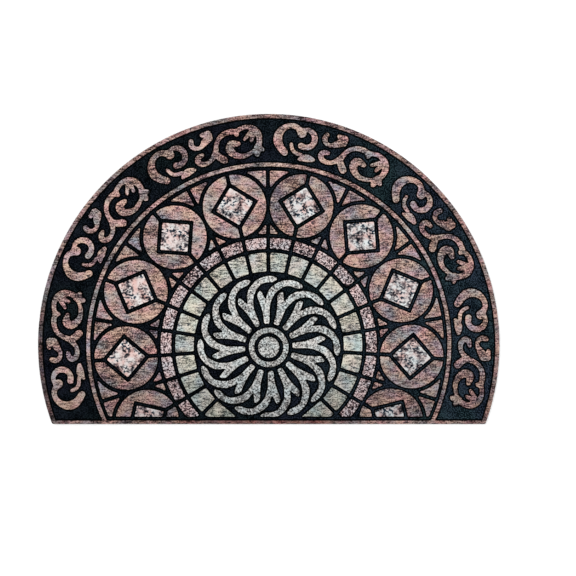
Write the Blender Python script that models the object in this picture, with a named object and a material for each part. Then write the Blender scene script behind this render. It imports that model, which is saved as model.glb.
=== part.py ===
"""Half-round doormat of moulded rubber: one slab with a mosaic medallion standing proud of its ground.

The mat lies on the surface with its straight edge towards -Y and its curved edge towards +Y.
The origin is at the middle of the mat's box, on the surface. Lengths are in metres unless a name
or a table says otherwise, and angles are in degrees, anticlockwise from +X.
"""

import math

import bmesh
import bpy
from mathutils import Vector

MM = 0.001
WELD_DISTANCE = 0.00001
UPWARD = 0.5  # a face whose normal rises more than this is a top face

# Driving dimensions of the slab
MAT_WIDTH = 0.800
MAT_DEPTH = 0.5376
MAT_HEIGHT = 0.0060
RELIEF = 0.0014  # how far the tiles and strips stand over the ground
STRIP_WIDTH = 0.0068  # of the rim, the straight border and the inner ring
MAT_RADIUS = MAT_WIDTH / 2
MAT_CENTRE = (0.0, MAT_DEPTH / 2 - MAT_RADIUS)
FRONT_Y = -MAT_DEPTH / 2
FIELD_Y = FRONT_Y + STRIP_WIDTH
GROUND_Z = MAT_HEIGHT - RELIEF
ROOT_Z = MAT_HEIGHT / 2  # where the raised pieces start, inside the slab

# The pattern's rings: their centre moves up a little from ring to ring
HUB_Y = -0.1359
RING_DRIFT = 0.0125
PATTERN_TURN = 90.3
TRIM_Y = FIELD_Y + 0.0060  # the stones end in a straight cut here
SMALLEST_REST = 0.0040  # a stone that reaches less than this over the cut is left out
INNER_STRIP_RADIUS = 0.3097

# Roundels, each a disc split by a square on its corner and by a line from the hub
ROUNDEL_PITCH = 27.06
ROUNDEL_RING = 0.24835
ROUNDEL_RING_Y = HUB_Y + RING_DRIFT * ROUNDEL_RING
ROUNDEL_RADIUS = 0.0549
SQUARE_HALF_DIAGONAL = 0.0334
FRAME_HALF_DIAGONAL = 0.0428
LINE_WIDTH = 0.0070
ROUNDELS_A_SIDE = 5

# Triangles between the roundels
TRIANGLE_CLEARANCE = 0.0620
TRIANGLE_OUTER_RING = 0.3032
TRIANGLE_INNER_RING = 0.1941
TIP_RADIUS = 0.0010  # a tip ends where a circle this big just fits between its sides

# Two rings of cells inside the roundels
BRICK_RINGS = (0.1689, 0.1874)
WEDGE_RINGS = (0.1300, 0.1621)
CELL_GAP = 0.0066
CELLS_A_SIDE = 11
END_WEDGE_TIP = 0.0573  # how far from the middle each last wedge meets the straight cut

# Rosette, about the hub's own centre
HUB_CENTRE = (0.0, HUB_Y)
HUB_RADIUS = 0.0184
HUB_RINGS = (0.0251, 0.0344)
BLADES = 16
FIRST_BLADE = 94.8
# One blade's edge in millimetres: clockwise across its stem, and out from the hub's centre
BLADE_EDGE = (
    (-3.2, 41.2),
    (-4.5, 44.0),
    (-5.0, 58.0),
    (-7.1, 70.0),
    (-10.0, 81.0),
    (-12.5, 89.0),
    (-11.7, 93.5),
    (-8.6, 98.2),
    (-6.4, 99.1),
    (-4.2, 96.3),
    (-0.4, 87.0),
    (1.4, 83.8),
    (3.2, 87.0),
    (6.2, 94.6),
    (11.0, 101.6),
    (20.0, 108.0),
    (30.0, 112.2),
    (41.0, 113.5),
    (52.0, 111.9),
    (61.0, 107.8),
    (66.8, 102.0),
    (67.2, 98.2),
    (62.0, 97.4),
    (56.5, 97.8),
    (48.0, 101.9),
    (39.0, 103.3),
    (30.0, 100.3),
    (21.0, 94.2),
    (14.5, 86.6),
    (9.5, 76.0),
    (7.3, 68.0),
    (5.6, 50.0),
    (5.0, 43.5),
    (3.8, 41.2),
)

# Scroll border: one unit is set out along an arc, clockwise from the unit's start
SCROLL_ARC = 0.355
SCROLL_PITCH = 36.5
FIRST_SCROLL = 199.15
SCROLL_UNITS = 6
# Each stroke's rows: distance along the arc, radius and width, in millimetres
SCROLL_STROKES = {
    "c_scroll": (
        (27.0, 334.8, 11.9),
        (18.8, 343.0, 13.2),
        (13.8, 353.0, 15.0),
        (14.3, 364.0, 14.0),
        (20.2, 374.0, 11.0),
        (29.0, 380.0, 9.0),
        (39.0, 381.5, 9.0),
        (47.2, 377.3, 9.8),
        (53.3, 370.5, 15.0),
    ),
    "small_curl": (
        (54.5, 376.5, 7.0),
        (64.0, 378.0, 7.5),
        (73.0, 372.3, 9.5),
        (76.5, 362.5, 10.0),
        (73.0, 352.5, 9.5),
        (64.0, 347.8, 9.5),
        (54.8, 349.3, 11.0),
    ),
    "leaf_stem": (
        (37.5, 350.3, 6.0),
        (40.0, 342.0, 6.5),
        (46.5, 336.0, 6.5),
        (58.0, 334.0, 6.0),
    ),
    "leaf": (
        (55.0, 325.8, 5.5),
        (62.5, 329.0, 11.0),
        (70.0, 330.2, 13.0),
        (81.4, 329.6, 7.0),
    ),
    "hook": (
        (94.2, 377.0, 8.2),
        (92.2, 369.5, 8.5),
        (96.8, 362.8, 7.2),
        (105.0, 361.2, 6.5),
        (112.5, 365.6, 10.0),
        (122.5, 373.0, 15.0),
    ),
    "hook_lobe": (
        (122.6, 378.8, 14.6),
        (117.2, 380.6, 8.4),
        (114.3, 380.6, 7.8),
    ),
    "hook_heel": (
        (112.4, 369.8, 5.6),
        (118.0, 370.4, 5.6),
    ),
    "s_scroll": (
        (104.4, 348.0, 7.2),
        (96.5, 346.5, 9.0),
        (93.0, 340.5, 10.0),
        (97.5, 334.0, 9.0),
        (107.0, 332.0, 7.5),
        (117.5, 335.2, 7.5),
        (128.0, 345.3, 9.8),
        (132.2, 356.3, 7.7),
        (138.2, 365.8, 7.6),
        (148.0, 372.6, 8.2),
        (159.0, 374.8, 9.2),
        (169.0, 373.8, 8.4),
    ),
    "foot": (
        (128.5, 342.5, 11.0),
        (134.0, 334.8, 12.4),
        (140.5, 329.2, 13.0),
    ),
    "nub": (
        (169.5, 373.0, 10.0),
        (170.0, 368.2, 7.4),
    ),
    "great_curl": (
        (169.0, 373.8, 8.4),
        (177.0, 377.0, 7.5),
        (187.0, 379.0, 8.0),
        (198.0, 375.5, 10.0),
        (206.0, 366.0, 11.0),
        (207.8, 354.5, 9.2),
        (204.0, 342.5, 10.0),
        (194.0, 335.6, 6.2),
        (183.0, 331.3, 7.6),
        (172.0, 330.3, 8.5),
        (161.0, 335.0, 11.5),
        (154.2, 344.0, 14.2),
        (158.5, 353.0, 13.4),
        (170.8, 352.3, 8.0),
    ),
    "long_finger": (
        (199.0, 373.0, 9.0),
        (190.5, 366.5, 7.2),
        (182.5, 358.5, 5.6),
    ),
    "short_finger": (
        (200.0, 369.8, 7.0),
        (195.8, 361.5, 7.0),
        (194.0, 354.6, 6.0),
    ),
    "finial_side": (
        (203.5, 343.0, 12.0),
        (212.8, 338.8, 7.0),
    ),
    "finial_foot": (
        (204.0, 341.0, 11.0),
        (202.5, 331.8, 10.2),
    ),
}

# How finely round edges are stepped, in degrees, and strokes, in steps
RIM_STEP = 3.2
RING_STEP = 5.0
CELL_STEP = 6.0
ROUNDEL_STEP = 15.0
HUB_STEP = 24.0
STEPS_A_SPAN = 2
STEPS_A_CAP = 4
FLAT_ENOUGH = 0.5  # a stroke's point this near the line between its neighbours is left out, in mm

# Colours of the rubber and of the flocked and printed face, as linear values
GROUND_COLOUR = (0.006, 0.010, 0.014)
PINK_MARBLE = (0.38, 0.23, 0.20)
WHITE_GRANITE = (0.58, 0.52, 0.49)
PINK_GRANITE = (0.40, 0.29, 0.26)
PALE_MARBLE = (0.52, 0.49, 0.42)
GREY_GRANITE = (0.52, 0.51, 0.47)
FACE_ROUGHNESS = 0.9


def clear_scene():
    for obj in list(bpy.data.objects):
        bpy.data.objects.remove(obj, do_unlink=True)


def new_collection(name):
    collection = bpy.data.collections.new(name)
    bpy.context.scene.collection.children.link(collection)
    return collection


def face_material(name, colour):
    material = bpy.data.materials.new(name)
    material.use_nodes = True
    shader = material.node_tree.nodes["Principled BSDF"]
    shader.inputs["Base Color"].default_value = (*colour, 1.0)
    shader.inputs["Roughness"].default_value = FACE_ROUGHNESS
    shader.inputs["Metallic"].default_value = 0.0
    return material


def circle_point(centre, radius, angle):
    turn = math.radians(angle)
    return (centre[0] + radius * math.cos(turn), centre[1] + radius * math.sin(turn))


def circle_arc(centre, radius, start, end, step):
    """Points on a circle from start to end, both included, no further apart than step."""
    count = max(1, math.ceil(abs(end - start) / step))
    return [circle_point(centre, radius, start + (end - start) * k / count) for k in range(count + 1)]


def ring_centre(radius):
    return (0.0, HUB_Y + RING_DRIFT * radius)


def ring_point(radius, angle):
    return circle_point(ring_centre(radius), radius, angle)


def ring_arc(radius, start, end, step):
    return circle_arc(ring_centre(radius), radius, start, end, step)


def crossing(radius, centre_y, level):
    """The angle at which the right half of a circle crosses a level line."""
    return math.degrees(math.asin((level - centre_y) / radius))


def prisms(name, outlines, bottom, top, material, collection):
    """One mesh with an upright prism on each outline, made from a filled and extruded 2D curve."""
    curve = bpy.data.curves.new(name + "_outline", "CURVE")
    curve.dimensions = "2D"
    curve.fill_mode = "BOTH"
    curve.extrude = (top - bottom) / 2
    for outline in outlines:
        spline = curve.splines.new("POLY")
        spline.points.add(len(outline) - 1)
        for point, (x, y) in zip(spline.points, outline):
            point.co = (x, y, 0.0, 1.0)
        spline.use_cyclic_u = True
    drawn = bpy.data.objects.new(name + "_outline", curve)
    drawn.location.z = (top + bottom) / 2
    collection.objects.link(drawn)
    return as_mesh(drawn, name, material, collection)


def as_mesh(drawn, name, material, collection):
    """Turns a curve object into a closed mesh object in the same place."""
    bpy.context.view_layer.update()
    evaluated = drawn.evaluated_get(bpy.context.evaluated_depsgraph_get())
    mesh = bpy.data.meshes.new_from_object(evaluated)
    welded = bmesh.new()
    welded.from_mesh(mesh)
    bmesh.ops.remove_doubles(welded, verts=welded.verts, dist=WELD_DISTANCE)
    bmesh.ops.recalc_face_normals(welded, faces=welded.faces)
    welded.to_mesh(mesh)
    welded.free()
    mesh.name = name
    mesh.materials.clear()
    mesh.materials.append(material)
    solid = bpy.data.objects.new(name, mesh)
    solid.matrix_world = evaluated.matrix_world
    collection.objects.link(solid)
    bpy.data.objects.remove(drawn, do_unlink=True)
    return solid


def as_helper(solid):
    """Keeps a shape that is only cut from the mat, or joined to it, out of the finished model."""
    solid.hide_render = True
    solid.display_type = "WIRE"
    return solid


def join_or_cut(solid, operation, other):
    """Adds a Boolean with one object, or with every object of a collection."""
    modifier = solid.modifiers.new(other.name, "BOOLEAN")
    modifier.operation = operation
    modifier.solver = "EXACT"
    modifier.material_mode = "TRANSFER"
    if isinstance(other, bpy.types.Collection):
        modifier.operand_type = "COLLECTION"
        modifier.collection = other
    else:
        modifier.object = other


def mat_outline():
    """The whole mat: a round edge, with points where it is widest and deepest, and a straight one."""
    corner = crossing(MAT_RADIUS, MAT_CENTRE[1], FRONT_Y)
    turns = (corner, 0.0, 90.0, 180.0, 180 - corner)
    outline = [circle_point(MAT_CENTRE, MAT_RADIUS, corner)]
    for start, end in zip(turns, turns[1:]):
        outline += circle_arc(MAT_CENTRE, MAT_RADIUS, start, end, RIM_STEP)[1:]
    return outline


def inner_field():
    """The ground inside the inner strip."""
    corner = crossing(INNER_STRIP_RADIUS, ring_centre(INNER_STRIP_RADIUS)[1], FIELD_Y)
    return ring_arc(INNER_STRIP_RADIUS, corner, 180 - corner, RING_STEP)


def scroll_field():
    """The ground of the scroll border, an arch between the rim's strip and the inner strip."""
    outer_radius = MAT_RADIUS - STRIP_WIDTH
    outer_corner = crossing(outer_radius, MAT_CENTRE[1], FIELD_Y)
    inner_radius = INNER_STRIP_RADIUS + STRIP_WIDTH
    inner_corner = crossing(inner_radius, ring_centre(inner_radius)[1], FIELD_Y)
    outer = circle_arc(MAT_CENTRE, outer_radius, outer_corner, 180 - outer_corner, RIM_STEP)
    inner = ring_arc(inner_radius, 180 - inner_corner, inner_corner, RING_STEP)
    return outer + inner


def set_out(centre, angle, points):
    """Points of the mat, from distances clockwise across a line from the centre and out along it."""
    turn = math.radians(angle)
    across = (math.sin(turn), -math.cos(turn))
    out = (math.cos(turn), math.sin(turn))
    return [
        (centre[0] + u * across[0] + v * out[0], centre[1] + u * across[1] + v * out[1])
        for u, v in points
    ]


def on_roundel(angle, points):
    """Points round a roundel's centre, from distances clockwise along its ring and out from the hub."""
    return set_out(circle_point((0.0, ROUNDEL_RING_Y), ROUNDEL_RING, angle), angle, points)


def roundel_half(angle, side):
    """Half of a roundel: side 1 lies clockwise of the line from the hub, and side -1 on its other side."""
    line = LINE_WIDTH / 2
    tilt = math.degrees(math.asin(line / ROUNDEL_RADIUS))
    rim = circle_arc((0.0, 0.0), ROUNDEL_RADIUS, 90 - tilt, tilt - 90, ROUNDEL_STEP)
    corner = FRAME_HALF_DIAGONAL - line
    frame = [(line, -corner), (FRAME_HALF_DIAGONAL, 0.0), (line, corner)]
    return on_roundel(angle, [(side * u, v) for u, v in rim + frame])


def roundel_square(angle):
    reach = SQUARE_HALF_DIAGONAL
    return on_roundel(angle, [(0.0, reach), (reach, 0.0), (0.0, -reach), (-reach, 0.0)])


def triangle(angle, side, ring_radius, inward):
    """The stone between a roundel, the line beside it and a ring inside or outside it.

    Its two tips are cut off straight between the points where the tip's circle touches its sides.
    """
    reach = TRIANGLE_CLEARANCE + TIP_RADIUS
    tip_ring = ring_radius + (TIP_RADIUS if inward else -TIP_RADIUS)
    ring_share = (tip_ring**2 - ROUNDEL_RING**2 - reach**2) / (2 * ROUNDEL_RING * reach)
    at_ring = 90 - math.degrees(math.acos(ring_share))
    half_pitch = ROUNDEL_PITCH / 2
    slant = math.radians(half_pitch)
    to_line = ROUNDEL_RING * math.sin(slant) - LINE_WIDTH / 2 - TIP_RADIUS
    lean = math.degrees(math.asin(to_line / reach))
    at_line = 90 - half_pitch - (180 - lean if inward else lean)
    curved = circle_arc((0.0, 0.0), TRIANGLE_CLEARANCE, at_ring, at_line, ROUNDEL_STEP)
    line_tip = circle_point((0.0, 0.0), reach, at_line)
    on_line = (line_tip[0] + TIP_RADIUS * math.cos(slant), line_tip[1] - TIP_RADIUS * math.sin(slant))
    ring_tip = circle_point((0.0, 0.0), reach, at_ring)
    line_end = 90 - half_pitch + math.degrees(math.asin(LINE_WIDTH / 2 / ring_radius))
    ring_end = math.degrees(math.atan2(ring_tip[1] + ROUNDEL_RING, ring_tip[0]))
    on_ring = circle_arc((0.0, -ROUNDEL_RING), ring_radius, line_end, ring_end, RING_STEP)
    return on_roundel(angle, [(side * u, v) for u, v in [*curved, on_line, *on_ring]])


def roundel_angles():
    offsets = [(k + 0.5) * ROUNDEL_PITCH for k in range(ROUNDELS_A_SIDE)]
    return [PATTERN_TURN + side * offset for side in (1, -1) for offset in offsets]


def cell(start, end, rings):
    """A stone between two lines from the hub and two rings, its sides parallel to the lines."""
    inner_inset = math.degrees(math.asin(CELL_GAP / 2 / rings[0]))
    outer_inset = math.degrees(math.asin(CELL_GAP / 2 / rings[1]))
    inner = ring_arc(rings[0], start + inner_inset, end - inner_inset, CELL_STEP)
    outer = ring_arc(rings[1], end - outer_inset, start + outer_inset, CELL_STEP)
    return inner + outer


def end_wedge(side):
    """The last stone of the inner ring on one side, which runs out in a point on the straight cut."""
    start = PATTERN_TURN + side * (CELLS_A_SIDE - 1) * ROUNDEL_PITCH / 2
    inner_inset = side * math.degrees(math.asin(CELL_GAP / 2 / WEDGE_RINGS[0]))
    outer_inset = side * math.degrees(math.asin(CELL_GAP / 2 / WEDGE_RINGS[1]))
    inner_corner = ring_point(WEDGE_RINGS[0], start + inner_inset)
    tip = (-side * END_WEDGE_TIP, TRIM_Y)
    below = (-side * END_WEDGE_TIP, FRONT_Y)
    end = start + side * ROUNDEL_PITCH / 2
    return [inner_corner, tip, below] + ring_arc(WEDGE_RINGS[1], end, start + outer_inset, CELL_STEP)


def cells(rings, a_side):
    half_pitch = ROUNDEL_PITCH / 2
    starts = [PATTERN_TURN + k * half_pitch for k in range(-a_side, a_side)]
    return [cell(start, start + half_pitch, rings) for start in starts]


def wedges():
    return cells(WEDGE_RINGS, CELLS_A_SIDE - 1) + [end_wedge(1), end_wedge(-1)]


def blades():
    edge = [(across * MM, out * MM) for across, out in BLADE_EDGE]
    return [set_out(HUB_CENTRE, FIRST_BLADE + 360 * k / BLADES, edge) for k in range(BLADES)]


def hub():
    """A round stone and a ring about it."""
    last = 360 - HUB_STEP
    radii = (HUB_RADIUS, *HUB_RINGS)
    return [circle_arc(HUB_CENTRE, radius, 0.0, last, HUB_STEP) for radius in radii]


def catmull_rom(t, a, b, c, d):
    return b + t * (c - a + t * (2 * a - 5 * b + 4 * c - d + t * (3 * b - a - 3 * c + d))) / 2


def smooth(rows):
    """Rows on a smooth curve through the given ones."""
    padded = [rows[0], *rows, rows[-1]]
    spans = zip(padded, padded[1:], padded[2:], padded[3:])
    result = []
    for span in spans:
        for k in range(STEPS_A_SPAN):
            result.append([catmull_rom(k / STEPS_A_SPAN, *values) for values in zip(*span)])
    return result + [rows[-1]]


def cap(end, heading):
    """Points of the half circle that ends a stroke, from its right side to its left."""
    along, radius, width = end
    first = math.degrees(heading) - 90
    arc = circle_arc((along, radius), width / 2, first, first + 180, 180 / STEPS_A_CAP)
    return arc[1:-1]


def stroke(rows):
    """The outline of a stroke with round ends, laid out flat in millimetres."""
    spine = smooth(rows)
    left = []
    right = []
    headings = []
    for k, (along, radius, width) in enumerate(spine):
        before = spine[max(k - 1, 0)]
        after = spine[min(k + 1, len(spine) - 1)]
        heading = math.atan2(after[1] - before[1], after[0] - before[0])
        across = (math.sin(heading) * width / 2, -math.cos(heading) * width / 2)
        right.append((along + across[0], radius + across[1]))
        left.append((along - across[0], radius - across[1]))
        headings.append(heading)
    far_end = cap(spine[-1], headings[-1])
    near_end = cap(spine[0], headings[0] + math.pi)
    return fewer_points(right + far_end + left[::-1] + near_end)


def fewer_points(outline):
    """The outline without the points that its shape doesn't need."""
    kept = [outline[0]]
    for point, following in zip(outline[1:], outline[2:] + outline[:1]):
        side = Vector(following) - Vector(kept[-1])
        offset = Vector(point) - Vector(kept[-1])
        if abs(side.cross(offset)) > FLAT_ENOUGH * side.length:
            kept.append(point)
    return kept


def bent(outline, start):
    """A flat outline of the scroll border, bent round the mat from the angle of its unit's start."""
    turns = [start - math.degrees(along * MM / SCROLL_ARC) for along, _ in outline]
    return [ring_point(radius * MM, turn) for turn, (_, radius) in zip(turns, outline)]


def add_raised(name, outlines, material, collection):
    return as_helper(prisms(name, outlines, ROOT_Z, MAT_HEIGHT, material, collection))


def add_stones(name, outlines, material, collection, trim):
    """Raised stones, of which those that cross the straight cut end there."""
    reaching = [line for line in outlines if max(y for _, y in line) > TRIM_Y + SMALLEST_REST]
    stones = add_raised(name, reaching, material, collection)
    join_or_cut(stones, "DIFFERENCE", trim)


def add_roundels(collection, trim, marble, granite):
    angles = roundel_angles()
    halves = [roundel_half(angle, side) for angle in angles for side in (1, -1)]
    squares = [roundel_square(angle) for angle in angles]
    add_stones("roundels", halves, marble, collection, trim)
    add_stones("squares", squares, granite, collection, trim)


def add_triangles(collection, trim, marble):
    """The stones either side of each line between roundels, all of them inside the mat."""
    places = ((TRIANGLE_OUTER_RING, False), (TRIANGLE_INNER_RING, True))
    outlines = [
        triangle(angle, side, ring_radius, inward)
        for angle in roundel_angles()
        for side in (1, -1)
        for ring_radius, inward in places
    ]
    add_stones("triangles", outlines, marble, collection, trim)


def add_scrolls(collection, marble):
    starts = [FIRST_SCROLL - k * SCROLL_PITCH for k in range(SCROLL_UNITS)]
    for name, rows in SCROLL_STROKES.items():
        outline = stroke(rows)
        add_raised(name, [bent(outline, start) for start in starts], marble, collection)


def add_slab(collection, rubber, marble):
    """The slab at full height, its rubber sides and underside under a marbled face."""
    slab = prisms("mat", [mat_outline()], 0.0, MAT_HEIGHT, rubber, collection)
    slab.data.materials.append(marble)
    for face in slab.data.polygons:
        if face.normal.z > UPWARD:
            face.material_index = 1
    return slab


def add_trim(collection, material):
    """A block over all that lies in front of the straight cut."""
    reach = MAT_WIDTH
    outline = [(-reach, -reach), (reach, -reach), (reach, TRIM_Y), (-reach, TRIM_Y)]
    return as_helper(prisms("straight_cut", [outline], 0.0, 2 * MAT_HEIGHT, material, collection))


def add_ground(collection, material):
    """The two pockets sunk into the slab, whose floors are the ground between the stones."""
    fields = [inner_field(), scroll_field()]
    return as_helper(prisms("ground", fields, GROUND_Z, 2 * MAT_HEIGHT, material, collection))


def main():
    clear_scene()
    mat = new_collection("half_round_doormat")
    cutters = new_collection("cutters")
    raised = new_collection("raised_pieces")
    rubber = face_material("black rubber", GROUND_COLOUR)
    pink_marble = face_material("pink marble print", PINK_MARBLE)
    white_granite = face_material("white granite print", WHITE_GRANITE)
    pink_granite = face_material("pink granite print", PINK_GRANITE)
    pale_marble = face_material("pale marble print", PALE_MARBLE)
    grey_granite = face_material("grey granite print", GREY_GRANITE)

    slab = add_slab(mat, rubber, pink_marble)
    trim = add_trim(cutters, rubber)
    add_roundels(raised, trim, pink_marble, white_granite)
    add_triangles(raised, trim, pink_marble)
    add_stones("bricks", cells(BRICK_RINGS, CELLS_A_SIDE), pink_granite, raised, trim)
    add_stones("wedges", wedges(), pale_marble, raised, trim)
    add_stones("rosette", blades(), grey_granite, raised, trim)
    add_raised("hub", hub(), grey_granite, raised)
    add_scrolls(raised, pink_marble)
    join_or_cut(slab, "DIFFERENCE", add_ground(cutters, rubber))
    join_or_cut(slab, "UNION", raised)


main()
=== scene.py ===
"""Half-round doormat: the finish of its rubber, its flocked ground and its printed stones.

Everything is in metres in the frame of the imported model: the mat lies on z = 0 with its straight
edge towards -Y. Angles are in degrees, anticlockwise from +X. A loop is a closed outline with the
solid on its left, so a hole's loop runs clockwise.
"""

import math
from statistics import NormalDist

import bpy
import numpy as np
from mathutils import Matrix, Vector, kdtree, noise
from mathutils.geometry import delaunay_2d_cdt, tessellate_polygon


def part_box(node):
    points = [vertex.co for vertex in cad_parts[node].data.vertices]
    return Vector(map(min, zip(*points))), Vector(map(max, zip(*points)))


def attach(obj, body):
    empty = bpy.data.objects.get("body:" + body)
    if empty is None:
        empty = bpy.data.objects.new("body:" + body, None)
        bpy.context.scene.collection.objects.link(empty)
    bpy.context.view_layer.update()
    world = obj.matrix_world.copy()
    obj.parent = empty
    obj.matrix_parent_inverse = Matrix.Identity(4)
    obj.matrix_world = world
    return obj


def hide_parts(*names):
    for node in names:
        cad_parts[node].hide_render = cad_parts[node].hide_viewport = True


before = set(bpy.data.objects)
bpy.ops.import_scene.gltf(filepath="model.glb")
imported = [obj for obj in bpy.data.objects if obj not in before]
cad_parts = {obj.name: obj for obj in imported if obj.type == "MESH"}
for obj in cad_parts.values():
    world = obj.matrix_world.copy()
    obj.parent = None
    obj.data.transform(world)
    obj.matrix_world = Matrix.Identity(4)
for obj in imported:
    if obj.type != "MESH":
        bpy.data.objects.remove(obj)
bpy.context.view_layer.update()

MM = 0.001
SEED = 12

# The slab, from the frame
low_corner, high_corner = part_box("mat")
MAT_WIDTH = high_corner.x - low_corner.x
MAT_DEPTH = high_corner.y - low_corner.y
MAT_HEIGHT = high_corner.z
MAT_RADIUS = MAT_WIDTH / 2
MAT_CENTRE = (0.0, MAT_DEPTH / 2 - MAT_RADIUS)
FRONT_Y = -MAT_DEPTH / 2
RELIEF = 0.0014  # how far the stones stand over the ground
RIM_WIDTH = 0.0074  # of the printed strip along the round edge
INNER_STRIP_WIDTH = 0.0066
FRONT_STRIP_WIDTH = 0.0060
FIELD_Y = FRONT_Y + FRONT_STRIP_WIDTH
GROUND_Z = MAT_HEIGHT - RELIEF

# The pattern's rings: their centre moves up a little from ring to ring
HUB_Y = -0.1359
RING_DRIFT = 0.0125
PATTERN_TURN = 90.3
TRIM_Y = FRONT_Y + 0.0128  # the stones end in a straight cut here
SMALLEST_REST = 0.0040  # a stone that reaches less than this over the cut is left out
INNER_STRIP_RADIUS = 0.3097

# Roundels, each a disc split by a square on its corner and by a line from the hub
ROUNDEL_PITCH = 27.06
ROUNDEL_RING = 0.24835
ROUNDEL_RING_Y = HUB_Y + RING_DRIFT * ROUNDEL_RING
ROUNDEL_RADIUS = 0.0549
SQUARE_HALF_DIAGONAL = 0.0334
FRAME_HALF_DIAGONAL = 0.0428
LINE_WIDTH = 0.0070
ROUNDELS_A_SIDE = 5

# Triangles between the roundels
TRIANGLE_CLEARANCE = 0.0620
TRIANGLE_OUTER_RING = 0.3032
TRIANGLE_INNER_RING = 0.1941
TIP_RADIUS = 0.0010  # a tip ends where a circle this big just fits between its sides

# Two rings of cells inside the roundels
BRICK_RINGS = (0.1689, 0.1874)
WEDGE_RINGS = (0.1300, 0.1621)
CELL_GAP = 0.0066
CELLS_A_SIDE = 11
END_WEDGE_TIP = 0.0573  # how far from the middle each last wedge meets the straight cut

# Rosette, about the hub's own centre
HUB_CENTRE = (0.0, HUB_Y)
HUB_RADIUS = 0.0184
HUB_RINGS = (0.0251, 0.0344)
BLADES = 16
FIRST_BLADE = 94.8
# One blade's edge in millimetres: clockwise across its stem, and out from the hub's centre
BLADE_EDGE = (
    (-3.2, 41.2), (-4.5, 44.0), (-5.0, 58.0), (-7.1, 70.0), (-10.0, 81.0), (-12.5, 89.0),
    (-11.7, 93.5), (-8.6, 98.2), (-6.4, 99.1), (-4.2, 96.3), (-0.4, 87.0), (1.4, 83.8),
    (3.2, 87.0), (6.2, 94.6), (11.0, 101.6), (20.0, 108.0), (30.0, 112.2), (41.0, 113.5),
    (52.0, 111.9), (61.0, 107.8), (66.8, 102.0), (67.2, 98.2), (62.0, 97.4), (56.5, 97.8),
    (48.0, 101.9), (39.0, 103.3), (30.0, 100.3), (21.0, 94.2), (14.5, 86.6), (9.5, 76.0),
    (7.3, 68.0), (5.6, 50.0), (5.0, 43.5), (3.8, 41.2),
)

# Scroll border: one unit is set out along an arc, clockwise from the unit's start
SCROLL_ARC = 0.355
SCROLL_PITCH = 36.5
FIRST_SCROLL = 199.15
SCROLL_UNITS = 6
# Each stroke's rows: distance along the arc, radius and width, in millimetres
SCROLL_STROKES = {
    "c_scroll": (
        (27.0, 334.8, 11.9), (18.8, 343.0, 13.2), (13.8, 353.0, 15.0), (14.3, 364.0, 14.0),
        (20.2, 374.0, 11.0), (29.0, 380.0, 9.0), (39.0, 381.5, 9.0), (47.2, 377.3, 9.8),
        (53.3, 370.5, 15.0),
    ),
    "small_curl": (
        (54.5, 376.5, 7.0), (64.0, 378.0, 7.5), (73.0, 372.3, 9.5), (76.5, 362.5, 10.0),
        (73.0, 352.5, 9.5), (64.0, 347.8, 9.5), (54.8, 349.3, 11.0),
    ),
    "leaf_stem": (
        (37.5, 350.3, 6.0), (40.0, 342.0, 6.5), (46.5, 336.0, 6.5), (58.0, 334.0, 6.0),
    ),
    "leaf": ((55.0, 325.8, 5.5), (62.5, 329.0, 11.0), (70.0, 330.2, 13.0), (81.4, 329.6, 7.0)),
    "hook": (
        (94.2, 377.0, 8.2), (92.2, 369.5, 8.5), (96.8, 362.8, 7.2), (105.0, 361.2, 6.5),
        (112.5, 365.6, 10.0), (122.5, 373.0, 15.0),
    ),
    "hook_lobe": ((122.6, 378.8, 14.6), (117.2, 380.6, 8.4), (114.3, 380.6, 7.8)),
    "hook_heel": ((112.4, 369.8, 5.6), (118.0, 370.4, 5.6)),
    "s_scroll": (
        (104.4, 348.0, 7.2), (96.5, 346.5, 9.0), (93.0, 340.5, 10.0), (97.5, 334.0, 9.0),
        (107.0, 332.0, 7.5), (117.5, 335.2, 7.5), (128.0, 345.3, 9.8), (132.2, 356.3, 7.7),
        (138.2, 365.8, 7.6), (148.0, 372.6, 8.2), (159.0, 374.8, 9.2), (169.0, 373.8, 8.4),
    ),
    "foot": ((128.5, 342.5, 11.0), (134.0, 334.8, 12.4), (140.5, 329.2, 13.0)),
    "nub": ((169.5, 373.0, 10.0), (170.0, 368.2, 7.4)),
    "great_curl": (
        (169.0, 373.8, 8.4), (177.0, 377.0, 7.5), (187.0, 379.0, 8.0), (198.0, 375.5, 10.0),
        (206.0, 366.0, 11.0), (207.8, 354.5, 9.2), (204.0, 342.5, 10.0),
        (194.0, 335.6, 6.2), (183.0, 331.3, 7.6), (172.0, 330.3, 8.5), (161.0, 335.0, 11.5),
        (154.2, 344.0, 14.2), (158.5, 353.0, 13.4), (170.8, 352.3, 8.0),
    ),
    "long_finger": ((199.0, 373.0, 9.0), (190.5, 366.5, 7.2), (182.5, 358.5, 5.6)),
    "short_finger": ((200.0, 369.8, 7.0), (195.8, 361.5, 7.0), (194.0, 354.6, 6.0)),
    "finial_side": ((203.5, 343.0, 12.0), (212.8, 338.8, 7.0)),
    "finial_foot": ((204.0, 341.0, 11.0), (202.5, 331.8, 10.2)),
}

# How finely outlines are stepped, in degrees, and strokes and blades, in steps a span
RIM_STEP = 0.4
RING_STEP = 0.5
CELL_STEP = 1.0
ROUNDEL_STEP = 2.0
STEPS_A_SPAN = 6
STEPS_A_CAP = 10

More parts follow.
